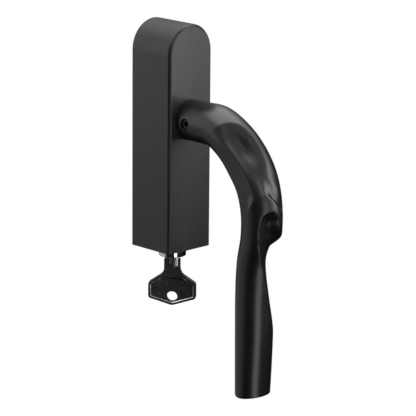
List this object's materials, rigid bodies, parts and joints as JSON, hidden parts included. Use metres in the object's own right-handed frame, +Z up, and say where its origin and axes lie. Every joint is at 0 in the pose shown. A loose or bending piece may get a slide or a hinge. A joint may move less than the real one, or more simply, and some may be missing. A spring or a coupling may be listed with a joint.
{
  "type": "lockable window handle",
  "caption": "Lockable window handle: sculpted black lever on a deep arched gear casing, with a keyed lock cylinder below and two drive lugs behind.",
  "frame": {"origin": "on the mounting plane, the casing's rear face, at the lever's axis", "axes": "+Z up along the casing, -Y out of the casing's front toward the user, +Y into the window, +X to the user's right"},
  "size_m": [0.028, 0.0947, 0.1744],
  "materials": {
    "casing_coat": "satin black coat with a fine upright brushed grain",
    "lever_coat": "satin black coat on cast aluminium",
    "zinc_plated_steel": "bright zinc plated",
    "plain_steel": "turned and oiled",
    "spring_steel": "blued spring steel",
    "brass": "turned",
    "chrome": "polished",
    "die_cast_zinc": "as cast",
    "bush_plastic": "moulded",
    "key_plastic": "fine moulded texture with polished bevels",
    "key_metal": "nickel plated"
  },
  "bodies": {
    "casing": {"casing": "casing_coat", "base_plate": "zinc_plated_steel", "threaded_insert_top": "brass", "threaded_insert_bottom": "brass", "plate_screw_1": "zinc_plated_steel", "plate_screw_2": "zinc_plated_steel", "plate_screw_3": "zinc_plated_steel", "plate_screw_4": "zinc_plated_steel", "bearing_plate": "zinc_plated_steel", "bearing_screw_1": "zinc_plated_steel", "bearing_screw_2": "zinc_plated_steel", "bearing_screw_3": "zinc_plated_steel", "bearing_screw_4": "zinc_plated_steel", "neck_bush": "bush_plastic", "thrust_washer": "spring_steel", "leaf_spring_left": "spring_steel", "leaf_spring_right": "spring_steel", "lock_cylinder": "brass", "lock_collar": "chrome", "bolt_keeper": "zinc_plated_steel"},
    "lever": {"lever": "lever_coat", "grub_screw": "plain_steel", "spindle": "plain_steel", "pinion": "plain_steel", "lock_disc": "plain_steel", "detent_cam": "plain_steel", "retaining_ring": "spring_steel"},
    "right_rack": {"rack_right": "die_cast_zinc"},
    "left_rack": {"rack_left": "die_cast_zinc"},
    "plug": {"lock_plug": "brass", "wafer_1": "brass", "wafer_2": "brass", "wafer_3": "brass", "wafer_4": "brass", "wafer_5": "brass", "cam_drum": "die_cast_zinc", "drum_screw": "plain_steel"},
    "bolt": {"lock_bolt": "plain_steel"},
    "key": {"key_head": "key_plastic", "key_blade": "key_metal"}
  },
  "joints": [
    {"name": "lever_turn", "type": "hinge", "parent": "casing", "child": "lever", "pos_m": [0, 0, 0], "axis": [0, -1, 0], "range_deg": [0, 180], "deforming": ["leaf_spring_left", "leaf_spring_right"]},
    {"name": "right_rack_slide", "type": "slide", "parent": "casing", "child": "right_rack", "axis": [0, 0, 1], "range_m": [0, 0.022]},
    {"name": "left_rack_slide", "type": "slide", "parent": "casing", "child": "left_rack", "axis": [0, 0, -1], "range_m": [0, 0.022]},
    {"name": "key_turn", "type": "hinge", "parent": "casing", "child": "plug", "pos_m": [0, -0.0137, -0.06], "axis": [0, 0, 1], "range_deg": [0, 90]},
    {"name": "bolt_slide", "type": "slide", "parent": "casing", "child": "bolt", "axis": [0, 0, 1], "range_m": [0, 0.0035]},
    {"name": "key_withdraw", "type": "slide", "parent": "plug", "child": "key", "axis": [0, 0, -1], "range_m": [0, 0.024]}
  ],
  "couplings": [
    {"joint": "right_rack_slide", "follows": "lever_turn", "m_per_rad": 0.007},
    {"joint": "left_rack_slide", "follows": "lever_turn", "m_per_rad": 0.007},
    {"joint": "bolt_slide", "follows": "key_turn", "m_per_rad": 0.0022282}
  ]
}
